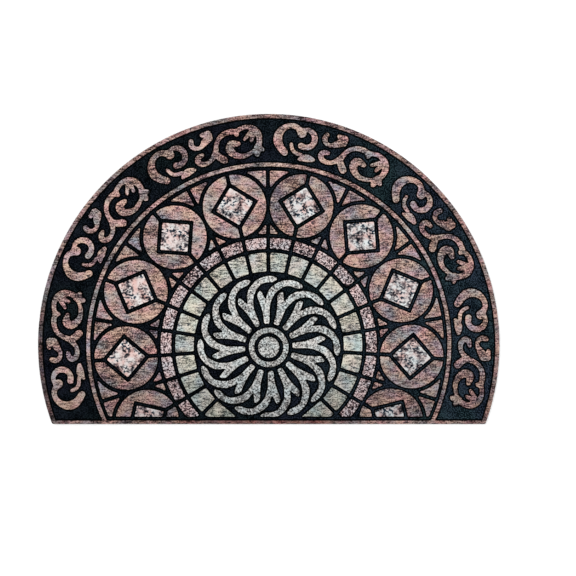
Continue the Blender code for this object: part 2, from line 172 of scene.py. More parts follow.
# Meshes
WELD = 1e-7
SMALLEST_LOOP = 3e-6  # square metres
SPACING = 0.0010  # between an outline's points
SOFTENING = 4  # passes that round an outline's corners
WANDER = 0.00022  # how far a moulded edge strays from its drawn line
WANDER_SIZE = 0.0045
WANDER_SEED = 0.0
LIP = 0.30  # how high a stone's upright side reaches, as a share of the relief
SHOULDER = ((0.00018, 0.62), (0.00050, 0.88), (0.00105, 1.0))  # inset, and share of the relief
CLEAR = 0.85  # a ring's point nearer to its edge than this share of its inset is left out
SHUFFLE = 0.2  # how far a grid's points stray, as a share of its step
FACE_STEP = 0.0024  # between the points inside a stone's face
ROOT_Z = GROUND_Z - 0.0012
SWELL = 0.00007
SWELL_SIZE = 0.007
STONE_SEED = 3.0
GROUND_SEED = 5.0
GROOVE_DEPTH = 0.0005
GROOVE_WIDTHS = (0.0014, 0.0034)  # painted shade in the groove to here, and flock in full from here
GROOVE_RINGS = (0.0001, 0.0012, 0.0023, 0.0035)
RING_SKIP = 2  # a groove's rings take every second point
GROUND_STEP = 0.0030
SLAB_ROWS = ((0.0, 0.0005), (0.0005, 0.0))  # inset and height of the rings below the ground
SHARP = math.radians(50)
STRIP_INSET = 0.00012  # the printed strip ends this far inside the slab's edge

# Finishes. A cast is what a colour is multiplied by, in red, green and blue.
PLAIN = (1.0, 1.0, 1.0)
MIDDLE = 0.5  # of noise, and of the value that a palette is laid over
BELL = 0.15  # the spread of that value
SHEEN_ROUGHNESS = 0.5
FUZZ_SIZE = 0.00045
FUZZ_SEED = 5.0
PRINT_FROM = GROUND_Z + 0.40 * RELIEF  # bare rubber below, and printed flock above
PRINT_TO = GROUND_Z + 0.80 * RELIEF
RAGGED_SIZE = 0.0009  # the print's lower edge is ragged in lumps of this size
RAGGED_DEPTH = 0.0006
HIGHLIGHT_WIDTH = 0.0016  # how far the painted highlight along a print's edge reaches in from a stone's shoulder
HIGHLIGHT_SIZE = 0.0030
HIGHLIGHT_REACH = (-0.15, 0.10)  # no painted highlight where noise is below the first, and full above the second
# painted highlight: how much paler a print is along a stone's shoulder, as if the shoulder caught
# the light
HIGHLIGHT_CAST = (1.22, 1.21, 1.20)
FRONT_DARKENING_REACH = (-0.235, -0.130)  # the print is darker up to this y, and lighter from that one
# casts that darken the print towards the mat's front, and the one that lightens it further back
FRONT_DARKENING = (0.75, 0.77, 0.79)
STRIP_FRONT_DARKENING = (0.80, 0.745, 0.735)
BACK_LIGHTENING = (1.07, 1.07, 1.07)
PATCH_REACH = (-0.34, 0.22)
MARK_EDGE = 0.05  # how softly a dark mark begins
CROWD_SIZE = 0.018
CROWD_REACH = (-0.10, 0.10)
DASH = (0.17, 0.19, 0.235)
CLOT = (0.035, 0.065, 0.10)

# How dark the strips' print is, where 0 is not at all and 1 is STRIP_SHADE
RIM_SHADE = 0.43
FRONT_PLACES = (-1.0, -0.5, -0.25, 0.20, 0.45, 1.0)  # along the front, in shares of MAT_RADIUS
FRONT_SHADES = (0.45, 0.20, 0.90, 0.90, 0.15, 0.10)  # at those places
STRIP_SHADE = (0.44, 0.29, 0.28)
# The rim's left end is darker and greyer: in full up to each first value, and not from the second
LEFT_END_CAST = (0.42, 0.43, 0.46)
LEFT_END_X = (-0.395, -0.335)
LEFT_END_Y = (-0.100, 0.010)
LEFT_END_FRONT = (-0.264, -0.260)  # the front strip, which lies below these, isn't darkened there

# Casts that the prints drift between
WARM = (1.15, 0.97, 0.905)
COOL = (0.51, 0.75, 0.95)
SCROLL_COOL = (0.54, 0.75, 0.92)
STRIP_COOL = (0.56, 0.74, 0.86)
ROSY = (1.05, 0.915, 1.05)
OLIVE = (0.97, 1.065, 0.965)
SALMON = (0.96, 0.64, 0.59)
ICY = (0.965, 1.05, 1.06)
BLUISH = (0.88, 1.03, 1.12)
BLUSHING = (1.09, 0.95, 0.95)
TEAL_GREY = (0.72, 0.86, 0.97)
BEIGE = (1.085, 0.985, 0.925)
PALE_ROSE = (1.09, 0.995, 1.02)
PALE_GREEN = (1.025, 1.08, 1.035)
STEEL = (1.02, 1.105, 1.14)
SAND = (1.00, 0.935, 0.915)

# The white granite's change from left to right, between these x
SQUARES_X = (-0.25, 0.15)
SQUARES_LIFT = (0.04, 0.0)
SQUARES_LEFT = (1.03, 0.98, 0.97)
SQUARES_RIGHT = (0.96, 1.0, 1.02)

# The rubber and the flock of the ground, whose painted sheen makes it bluer and paler towards the
# right
RUBBER = (13, 13, 14)
RUBBER_CLOUDS = ((0.80, 0.80, 0.82), (1.20, 1.20, 1.18))
CLOUD_SIZE = 0.0060
CLOUD_REACH = (-0.20, 0.20)
SIDE_TOP = GROUND_Z - 2 * GROOVE_DEPTH  # faces that reach below this are smooth rubber
# painted shade: the near-black laid in the grooves along the stones' feet
GROOVE_SHADE = (2, 3, 3)
GROOVE_SHADE_REACH = (0.2, 0.9)  # painted groove shade where the ground's tone is below these, and flock above
GROUND_SHEEN_X = (-0.10, 0.42)
GROUND_SHEEN_RIGHT = (3.0, 3.5, 3.4)
TEAL = (0.82, 1.10, 0.94)
NAVY = (1.06, 0.89, 1.17)

# Layers of grain: the size of their lumps, how much longer they are along X, and their weight
PINK_MARBLE_GRAINS = ((0.0021, 1.0, 1.65), (0.0030, 4.0, 1.05), (0.0180, 1.8, 0.6))
STRIP_MARBLE_GRAINS = ((0.0021, 1.0, 1.15), (0.0030, 4.0, 0.95), (0.0180, 1.8, 0.65))
WHITE_GRANITE_GRAINS = ((0.0036, 1.2, 0.8), (0.0150, 1.0, 1.35))
PINK_GRANITE_GRAINS = ((0.0034, 1.0, 0.9), (0.0200, 1.0, 0.3))
PALE_MARBLE_GRAINS = ((0.0020, 1.0, 1.4), (0.0030, 3.5, 1.1), (0.0140, 1.5, 0.6))
GREY_GRANITE_GRAINS = ((0.0036, 1.0, 0.9), (0.0150, 1.0, 0.3))
FLOCK_GRAINS = ((0.0021, 1.0, 2.8), (0.0200, 1.0, 0.85))

# Palettes, darkest first: each colour's share of the surface, and the colour as seen on a screen
PINK_MARBLE = (
    (0.03, (46, 34, 38)), (0.09, (86, 67, 67)), (0.17, (119, 97, 94)),
    (0.23, (145, 121, 116)), (0.23, (164, 139, 133)), (0.18, (183, 157, 150)),
    (0.07, (202, 180, 173)),
)
STRIP_MARBLE = (
    (0.05, (20, 15, 17)), (0.11, (64, 50, 50)), (0.18, (112, 94, 92)),
    (0.24, (141, 121, 118)), (0.22, (164, 144, 141)), (0.16, (185, 166, 163)),
    (0.06, (204, 188, 185)),
)
WHITE_GRANITE = (
    (0.03, (20, 22, 30)), (0.06, (72, 71, 78)), (0.10, (118, 108, 111)),
    (0.14, (153, 141, 140)), (0.19, (186, 176, 173)), (0.25, (207, 199, 196)),
    (0.23, (221, 216, 214)),
)
PINK_GRANITE = (
    (0.08, (16, 15, 19)), (0.12, (54, 44, 48)), (0.16, (99, 81, 83)),
    (0.19, (133, 115, 114)), (0.19, (162, 145, 143)), (0.17, (188, 172, 169)),
    (0.09, (216, 202, 199)),
)
PALE_MARBLE = (
    (0.03, (54, 58, 57)), (0.08, (102, 104, 100)), (0.21, (142, 142, 135)),
    (0.28, (168, 168, 160)), (0.24, (187, 187, 180)), (0.16, (206, 206, 198)),
)
GREY_GRANITE = (
    (0.07, (58, 57, 57)), (0.10, (93, 93, 92)), (0.14, (125, 127, 125)),
    (0.19, (151, 153, 151)), (0.22, (175, 177, 175)), (0.19, (195, 197, 194)),
    (0.10, (217, 219, 216)),
)
FLOCK = (
    (0.10, (0, 1, 2)), (0.17, (2, 5, 7)), (0.23, (5, 9, 12)), (0.21, (10, 14, 18)),
    (0.17, (16, 21, 26)), (0.12, (27, 33, 38)),
)

# Studio
CAMERA_PLACE = (0.0333, -0.0330, MAT_HEIGHT + 2.356)
CAMERA_LENS = 85.0
CAMERA_SENSOR = 36.0
FLOOR_SIZE = 14.0
FLOOR_Z = -0.0002
FLOOR_COLOUR = (243, 243, 243)
FLOOR_GLOW = 0.3  # keeps the shadow beside the mat faint
# Each light's name, place, width and power in watts
LIGHTS = (
    ("key", (-1.6, 1.4, 2.6), 2.0, 55.0),
    ("fill", (1.8, -0.8, 2.4), 2.4, 30.0),
)
SURROUND = 0.55  # strength of the even light from all round


def circle_point(centre, radius, angle):
    turn = math.radians(angle)
    return (centre[0] + radius * math.cos(turn), centre[1] + radius * math.sin(turn))


def circle_arc(centre, radius, start, end, step):
    """Points on a circle from start to end, both included, no further apart than step."""
    count = max(1, math.ceil(abs(end - start) / step))
    angles = [start + (end - start) * k / count for k in range(count + 1)]
    return [circle_point(centre, radius, angle) for angle in angles]


def ring_centre(radius):
    return (0.0, HUB_Y + RING_DRIFT * radius)


def ring_point(radius, angle):
    return circle_point(ring_centre(radius), radius, angle)


def ring_arc(radius, start, end, step):
    return circle_arc(ring_centre(radius), radius, start, end, step)


def crossing(radius, centre_y, level):
    """The angle at which the right half of a circle crosses a level line."""
    return math.degrees(math.asin((level - centre_y) / radius))


def mat_outline():
    corner = crossing(MAT_RADIUS, MAT_CENTRE[1], FRONT_Y)
    return circle_arc(MAT_CENTRE, MAT_RADIUS, corner, 180 - corner, RIM_STEP)


def inner_field():
    """The ground inside the inner strip."""
    corner = crossing(INNER_STRIP_RADIUS, ring_centre(INNER_STRIP_RADIUS)[1], FIELD_Y)
    return ring_arc(INNER_STRIP_RADIUS, corner, 180 - corner, RING_STEP)


def scroll_field():
    """The ground of the scroll border, an arch between the rim's strip and the inner strip."""
    outer_radius = MAT_RADIUS - RIM_WIDTH
    outer_corner = crossing(outer_radius, MAT_CENTRE[1], FIELD_Y)
    inner_radius = INNER_STRIP_RADIUS + INNER_STRIP_WIDTH
    inner_corner = crossing(inner_radius, ring_centre(inner_radius)[1], FIELD_Y)
    outer = circle_arc(MAT_CENTRE, outer_radius, outer_corner, 180 - outer_corner, RIM_STEP)
    inner = ring_arc(inner_radius, 180 - inner_corner, inner_corner, RING_STEP)
    return outer + inner


def set_out(centre, angle, points):
    """Points of the mat, from distances clockwise across a line from a centre and out along it."""
    turn = math.radians(angle)
    across = (math.sin(turn), -math.cos(turn))
    out = (math.cos(turn), math.sin(turn))
    return [
        (centre[0] + u * across[0] + v * out[0], centre[1] + u * across[1] + v * out[1])
        for u, v in points
    ]


def on_roundel(angle, points):
    """Points round a roundel's centre, from distances clockwise along its ring and outwards."""
    return set_out(circle_point((0.0, ROUNDEL_RING_Y), ROUNDEL_RING, angle), angle, points)


def roundel_half(angle, side):
    """Half of a roundel: side 1 lies clockwise of the line from the hub, and side -1 beyond it."""
    line = LINE_WIDTH / 2
    tilt = math.degrees(math.asin(line / ROUNDEL_RADIUS))
    rim = circle_arc((0.0, 0.0), ROUNDEL_RADIUS, 90 - tilt, tilt - 90, ROUNDEL_STEP)
    corner = FRAME_HALF_DIAGONAL - line
    inner = [(line, -corner), (FRAME_HALF_DIAGONAL, 0.0), (line, corner)]
    return on_roundel(angle, [(side * u, v) for u, v in rim + inner])


def roundel_square(angle):
    reach = SQUARE_HALF_DIAGONAL
    return on_roundel(angle, [(0.0, reach), (reach, 0.0), (0.0, -reach), (-reach, 0.0)])


def triangle(angle, side, ring_radius, inward):
    """The stone between a roundel, the line beside it and a ring inside or outside it.

    Its two tips are cut off straight between the points where the tip's circle touches its sides.
    """
    reach = TRIANGLE_CLEARANCE + TIP_RADIUS
    tip_ring = ring_radius + (TIP_RADIUS if inward else -TIP_RADIUS)
    ring_share = (tip_ring**2 - ROUNDEL_RING**2 - reach**2) / (2 * ROUNDEL_RING * reach)
    at_ring = 90 - math.degrees(math.acos(ring_share))
    half_pitch = ROUNDEL_PITCH / 2
    slant = math.radians(half_pitch)
    to_line = ROUNDEL_RING * math.sin(slant) - LINE_WIDTH / 2 - TIP_RADIUS
    lean = math.degrees(math.asin(to_line / reach))
    at_line = 90 - half_pitch - (180 - lean if inward else lean)
    curved = circle_arc((0.0, 0.0), TRIANGLE_CLEARANCE, at_ring, at_line, ROUNDEL_STEP)
    line_tip = circle_point((0.0, 0.0), reach, at_line)
    on_line = (
        line_tip[0] + TIP_RADIUS * math.cos(slant),
        line_tip[1] - TIP_RADIUS * math.sin(slant),
    )
    ring_tip = circle_point((0.0, 0.0), reach, at_ring)
    line_end = 90 - half_pitch + math.degrees(math.asin(LINE_WIDTH / 2 / ring_radius))
    ring_end = math.degrees(math.atan2(ring_tip[1] + ROUNDEL_RING, ring_tip[0]))
    on_ring = circle_arc((0.0, -ROUNDEL_RING), ring_radius, line_end, ring_end, RING_STEP)
    return on_roundel(angle, [(side * u, v) for u, v in [*curved, on_line, *on_ring]])


def roundel_angles():
    offsets = [(k + 0.5) * ROUNDEL_PITCH for k in range(ROUNDELS_A_SIDE)]
    return [PATTERN_TURN + side * offset for side in (1, -1) for offset in offsets]


def cell(start, end, rings):
    """A stone between two lines from the hub and two rings, its sides parallel to the lines."""
    inner_inset = math.degrees(math.asin(CELL_GAP / 2 / rings[0]))
    outer_inset = math.degrees(math.asin(CELL_GAP / 2 / rings[1]))
    inner = ring_arc(rings[0], start + inner_inset, end - inner_inset, CELL_STEP)
    outer = ring_arc(rings[1], end - outer_inset, start + outer_inset, CELL_STEP)
    return inner + outer


def end_wedge(side):
    """The last stone of the inner ring on one side, which ends in a point on the straight cut."""
    start = PATTERN_TURN + side * (CELLS_A_SIDE - 1) * ROUNDEL_PITCH / 2
    inner_inset = side * math.degrees(math.asin(CELL_GAP / 2 / WEDGE_RINGS[0]))
    outer_inset = side * math.degrees(math.asin(CELL_GAP / 2 / WEDGE_RINGS[1]))
    inner_corner = ring_point(WEDGE_RINGS[0], start + inner_inset)
    tip_x = -side * END_WEDGE_TIP
    run_on = (FRONT_Y - inner_corner[1]) / (TRIM_Y - inner_corner[1])
    below = (inner_corner[0] + (tip_x - inner_corner[0]) * run_on, FRONT_Y)
    end = start + side * ROUNDEL_PITCH / 2
    return [inner_corner, below] + ring_arc(WEDGE_RINGS[1], end, start + outer_inset, CELL_STEP)


def cells(rings, a_side):
    half_pitch = ROUNDEL_PITCH / 2
    starts = [PATTERN_TURN + k * half_pitch for k in range(-a_side, a_side)]
    return [cell(start, start + half_pitch, rings) for start in starts]


def wedges():
    return cells(WEDGE_RINGS, CELLS_A_SIDE - 1) + [end_wedge(1), end_wedge(-1)]


def roundel_halves():
    return [roundel_half(angle, side) for angle in roundel_angles() for side in (1, -1)]


def squares():
    return [roundel_square(angle) for angle in roundel_angles()]


def triangles():
    places = ((TRIANGLE_OUTER_RING, False), (TRIANGLE_INNER_RING, True))
    return [
        triangle(angle, side, ring_radius, inward)
        for angle in roundel_angles()
        for side in (1, -1)
        for ring_radius, inward in places
    ]


def blades():
    closed = smooth([BLADE_EDGE[-1], *BLADE_EDGE, *BLADE_EDGE[:2]])
    edge = [(across * MM, out * MM) for across, out in closed[STEPS_A_SPAN : -STEPS_A_SPAN - 1]]
    return [set_out(HUB_CENTRE, FIRST_BLADE + 360 * k / BLADES, edge) for k in range(BLADES)]


def full_circle(radius):
    return circle_arc(HUB_CENTRE, radius, 0.0, 360 - ROUNDEL_STEP, ROUNDEL_STEP)


def catmull_rom(t, a, b, c, d):
    return b + t * (c - a + t * (2 * a - 5 * b + 4 * c - d + t * (3 * b - a - 3 * c + d))) / 2


def smooth(rows):
    """Rows on a smooth curve through the given ones."""
    padded = [rows[0], *rows, rows[-1]]
    spans = zip(padded, padded[1:], padded[2:], padded[3:])
    result = []
    for span in spans:
        for k in range(STEPS_A_SPAN):
            result.append([catmull_rom(k / STEPS_A_SPAN, *values) for values in zip(*span)])
    return result + [rows[-1]]


def cap(end, heading):
    """Points of the half circle that ends a stroke, from its right side to its left."""
    along, radius, width = end
    first = math.degrees(heading) - 90
    arc = circle_arc((along, radius), width / 2, first, first + 180, 180 / STEPS_A_CAP)
    return arc[1:-1]


def stroke(rows):
    """The outline of a stroke with round ends, laid out flat in millimetres."""
    spine = smooth(rows)
    left = []
    right = []
    headings = []
    for k, (along, radius, width) in enumerate(spine):
        before = spine[max(k - 1, 0)]
        after = spine[min(k + 1, len(spine) - 1)]
        heading = math.atan2(after[1] - before[1], after[0] - before[0])
        across = (math.sin(heading) * width / 2, -math.cos(heading) * width / 2)
        right.append((along + across[0], radius + across[1]))
        left.append((along - across[0], radius - across[1]))
        headings.append(heading)
    far_end = cap(spine[-1], headings[-1])
    near_end = cap(spine[0], headings[0] + math.pi)
    return right + far_end + left[::-1] + near_end


def bent(outline, start):
    """A flat outline of the scroll border, bent round the mat from its unit's first angle."""
    turns = [start - math.degrees(along * MM / SCROLL_ARC) for along, _ in outline]
    return [ring_point(radius * MM, turn) for turn, (_, radius) in zip(turns, outline)]


def scroll_unit(k):
    start = FIRST_SCROLL - k * SCROLL_PITCH
    return [bent(stroke(rows), start) for rows in SCROLL_STROKES.values()]


def signed_area(loop):
    x, y = np.array(loop).T
    return float(np.sum(x * np.roll(y, -1) - np.roll(x, -1) * y)) / 2


def wound(loop, turn=1):
    """The loop run anticlockwise, or clockwise for turn -1."""
    return loop if signed_area(loop) * turn > 0 else loop[::-1]


def traced(sides):
    """Closed walks along those sides of triangles that no other triangle shares."""
    following = {}
    for a, b in sides:
        if (b, a) not in sides:
            following.setdefault(a, []).append(b)
    loops = []
    while following:
        walk = [next(iter(following))]
        while walk[-1] in following:
            ends = following[walk[-1]]
            point = ends.pop()
            if not ends:
                del following[walk[-1]]
            if point in walk:
                first = walk.index(point)
                loops.append(walk[first:])
                del walk[first + 1 :]
            else:
                walk.append(point)
    return loops


def merged(outlines, keep=None):
    """The loops round the union of some outlines, within another outline where one is given."""
    shapes = outlines + ([keep] if keep else [])
    points = [Vector(point) for shape in shapes for point in shape]
    firsts = np.cumsum([0] + [len(shape) for shape in shapes]).tolist()
    faces = [list(range(first, last)) for first, last in zip(firsts, firsts[1:])]
    places, _, corners, _, _, owners = delaunay_2d_cdt(points, [], faces, 0, WELD)
    kept_by = len(outlines)
    sides = set()
    for ring, owned in zip(corners, owners):
        if owned and owned != [kept_by] and (keep is None or kept_by in owned):
            sides.update(zip(ring, ring[1:] + ring[:1]))
    loops = [[tuple(places[k]) for k in walk] for walk in traced(sides)]
    return [loop for loop in loops if abs(signed_area(loop)) > SMALLEST_LOOP]


def trimmed(outlines):
    """Outlines of stones, cut off straight along the front."""
    reach = MAT_WIDTH
    keep = [(-reach, TRIM_Y), (reach, TRIM_Y), (reach, reach), (-reach, reach)]
    result = []
    for outline in outlines:
        top = max(y for _, y in outline)
        bottom = min(y for _, y in outline)
        if bottom > TRIM_Y:
            result.append([wound(outline)])
        elif top > TRIM_Y + SMALLEST_REST:
            result.append(merged([wound(outline)], keep))
    return [loops for loops in result if loops]


def even(loop):
    """The loop with evenly spaced points."""
    closed = np.array(loop + loop[:1])
    runs = np.concatenate([[0], np.cumsum(np.hypot(*np.diff(closed, axis=0).T))])
    at = np.linspace(0, runs[-1], round(runs[-1] / SPACING), endpoint=False)
    return np.column_stack([np.interp(at, runs, closed[:, k]) for k in (0, 1)])


def softened(points):
    for _ in range(SOFTENING):
        points = (2 * points + np.roll(points, 1, 0) + np.roll(points, -1, 0)) / 4
    return points


def inward(points):
    """Unit normals that point to the left of the loop, into the solid."""
    ahead = np.roll(points, -1, 0) - np.roll(points, 1, 0)
    ahead /= np.linalg.norm(ahead, axis=1)[:, None]
    return np.column_stack([-ahead[:, 1], ahead[:, 0]])


def inset(loop, distance):
    return loop + inward(loop) * distance


def unevenness(points, size, seed):
    return np.array([noise.noise(Vector((x / size, y / size, seed))) for x, y in points])


def moulded(loop):
    """A drawn loop as it comes out of the mould, its corners soft and its line not quite true."""
    points = softened(even(loop))
    strays = WANDER * unevenness(points, WANDER_SIZE, WANDER_SEED)
    return points + inward(points) * strays[:, None]


def within(points, loop):
    """Which of the points lie inside the loop."""
    inside = np.zeros(len(points), bool)
    x, y = points.T
    for (x0, y0), (x1, y1) in zip(loop, np.roll(loop, -1, 0)):
        spans = (y0 > y) != (y1 > y)
        if spans.any():
            inside ^= spans & (x < (x1 - x0) * (y - y0) / (y1 - y0) + x0)
    return inside


class Edge:
    """The outline of one or more stones, to measure how far points lie from it."""

    def __init__(self, loops):
        self.points = np.concatenate(loops)
        self.inward = np.concatenate([inward(loop) for loop in loops])
        self.tree = kdtree.KDTree(len(self.points))
        for k, (x, y) in enumerate(self.points):
            self.tree.insert((x, y, 0.0), k)
        self.tree.balance()

    def gaps(self, points):
        """Distances from the outline, above zero for points inside a stone."""
        found = [self.tree.find((x, y, 0.0)) for x, y in points]
        index = [k for _, k, _ in found]
        side = np.sum((points - self.points[index]) * self.inward[index], axis=1)
        return np.where(side < 0, -1, 1) * np.array([gap for _, _, gap in found])


def lattice(loop, step, shuffle):
    """Points on a triangular grid over the loop's box, each a little out of line."""
    low = loop.min(0)
    high = loop.max(0)
    rise = step * math.sqrt(3) / 2
    j, i = np.mgrid[0 : (high[1] - low[1]) / rise, 0 : (high[0] - low[0]) / step]
    grid = np.column_stack([(i + j % 2 / 2).ravel() * step, j.ravel() * rise]) + low
    return grid + shuffle.uniform(-SHUFFLE, SHUFFLE, grid.shape) * step


def face_of(loops, extra):
    """Triangles over the loops and the extra points in them, and where the loops' points went."""
    points = np.concatenate([*loops, extra])
    sides = sides_of(loops)
    corners = [Vector(point) for point in points]
    places, _, faces, sources, _, _ = delaunay_2d_cdt(corners, sides, [], 1, WELD)
    places = np.array([tuple(place) for place in places])
    faces = np.array(faces)
    for hole in loops[1:]:
        faces = faces[~within(places[faces].mean(axis=1), hole)]
    went = np.zeros(len(points), int)
    for k, source in enumerate(sources):
        went[source] = k
    return places, faces.tolist(), went[: sum(len(loop) for loop in loops)]


def sides_of(loops):
    """Pairs of the indices of each loop's neighbours, with the loops counted one after another."""
    sides = []
    for loop in loops:
        first = len(sides)
        sides += [(first + k, first + (k + 1) % len(loop)) for k in range(len(loop))]
    return sides


def underside(loops, ring):
    """Triangles that close the lowest loops and look down."""
    points = np.concatenate(loops)
    faces = []
    for corners in tessellate_polygon([[Vector(point) for point in loop] for loop in loops]):
        a, b, c = points[list(corners)]
        turned = (b[0] - a[0]) * (c[1] - a[1]) - (b[1] - a[1]) * (c[0] - a[0])
        order = corners[::-1] if turned > 0 else corners
        faces.append([ring[k] for k in order])
    return faces


def plate(loops, extra, height, rows):
    """Vertices and faces of one closed plate.

    The loops bound its face, extra are points inside it, height gives the z of the face's points,
    and rows are the inset and z of the rings below the face, down to the flat underside.
    """
    places, faces, above = face_of(loops, extra)
    vertices = [np.column_stack([places, height(places)])]
    count = len(places)
    for distance, z in rows:
        rings = [inset(loop, distance) for loop in loops]
        points = np.concatenate(rings)
        vertices.append(np.column_stack([points, np.full(len(points), z)]))
        below = np.arange(count, count + len(points))
        faces += [(above[b], above[a], below[a], below[b]) for a, b in sides_of(loops)]
        above = below
        count += len(points)
    return np.concatenate(vertices), faces + underside(rings, above)


def eased(value, low, high):
    """0 up to low, 1 from high on, and a soft step between them."""
    t = np.clip((value - low) / (high - low), 0, 1)
    return t * t * (3 - 2 * t)


def stone(loops, shuffle):
    """One raised stone: a rounded shoulder along its loops and a face that is not quite flat."""
    edge = Edge(loops)
    insets = [0.0] + [distance for distance, _ in SHOULDER]
    shares = [LIP] + [share for _, share in SHOULDER]

    def height(places):
        gaps = edge.gaps(places)
        swell = SWELL * (unevenness(places, SWELL_SIZE, STONE_SEED) - 1)
        rise = RELIEF * np.interp(gaps, insets, shares)
        return GROUND_Z + rise + swell * eased(gaps, 0, insets[-1])

    rings = []
    for distance in insets[1:]:
        ring = np.concatenate([inset(loop, distance) for loop in loops])
        rings.append(ring[edge.gaps(ring) > CLEAR * distance])
    grid = lattice(loops[0], FACE_STEP, shuffle)
    grid = grid[edge.gaps(grid) > insets[-1] + FACE_STEP / 2]
    points, faces = plate(loops, np.concatenate([*rings, grid]), height, [(0.0, ROOT_Z)])
    # painted highlight along the shoulder, strongest at the edge and gone a little way in
    edge_highlight = 1 - eased(edge.gaps(points[:, :2]), insets[-1], insets[-1] + HIGHLIGHT_WIDTH)
    return points, faces, edge_highlight


def slab(outline, edge, shuffle):
    """The slab up to the ground, with a groove sunk along each stone's edge, which its material
    fills with painted shade.
    """
    near = edge.points[::RING_SKIP]
    away = -edge.inward[::RING_SKIP]
    rings = [near + away * distance for distance in GROOVE_RINGS]
    ringed = np.concatenate(rings)
    ringed = ringed[edge.gaps(ringed) < -CLEAR * GROOVE_RINGS[0]]
    grid = lattice(outline, GROUND_STEP, shuffle)
    grid = grid[edge.gaps(grid) < -GROOVE_RINGS[-1] - GROUND_STEP / 3]

    def height(places):
        sunk = GROOVE_DEPTH * (1 - eased(-edge.gaps(places), *GROOVE_WIDTHS))
        return GROUND_Z - sunk + SWELL * unevenness(places, SWELL_SIZE, GROUND_SEED)

    return plate([outline], np.concatenate([ringed, grid]), height, SLAB_ROWS)


def as_piece(name, parts):
    """One mesh object from several plates, each with its points' tones and how much painted
    highlight they get.
    """
    vertices = []
    faces = []
    values = {"tone": [], "edge_highlight": []}
    count = 0
    for points, sides, *rows in parts:
        vertices.append(points)
        faces += [[int(k) + count for k in side] for side in sides]
        for row, kept in zip(rows, values.values()):
            kept.append(np.broadcast_to(row, len(points)))
        count += len(points)
    mesh = bpy.data.meshes.new(name)
    mesh.from_pydata(np.concatenate(vertices).tolist(), [], faces)
    for label, rows in values.items():
        attribute = mesh.attributes.new(label, "FLOAT", "POINT")
        attribute.data.foreach_set("value", np.concatenate(rows).astype(np.float32))
    mesh.shade_smooth()
    mesh.set_sharp_from_angle(angle=SHARP)
    piece = bpy.data.objects.new(name, mesh)
    bpy.context.scene.collection.objects.link(piece)
    return piece


def stones(name, outlines, shuffle):
    """All stones of one kind, each a little lighter or darker than the next."""
    parts = []
    for loops in outlines:
        points, faces, edge_highlight = stone(loops, shuffle)
        parts.append((points, faces, shuffle.normal(), edge_highlight))
    return as_piece(name, parts)


def strip_shades(points):
    """How dark the strips' print is: more along the rim, and along the middle of the front."""
    x, y = points[:, 0], points[:, 1]
    radius = np.hypot(x - MAT_CENTRE[0], y - MAT_CENTRE[1])
    rim = eased(radius, MAT_RADIUS - 2 * RIM_WIDTH, MAT_RADIUS - RIM_WIDTH)
    front = 1 - eased(y, FIELD_Y, FIELD_Y + FRONT_STRIP_WIDTH)
    along = np.interp(x / MAT_RADIUS, FRONT_PLACES, FRONT_SHADES)
    return np.select([front > 0, rim > 0], [along * front, RIM_SHADE * rim], 0.0)


def linear(share):
    """The light that a screen gives for a share of its full signal."""
    return share / 12.92 if share <= 0.04045 else ((share + 0.055) / 1.055) ** 2.4


def seen(red, green, blue):
    """A colour given as it is seen on a screen, from 0 to 255, as linear values."""
    return (*(linear(channel / 255) for channel in (red, green, blue)), 1.0)


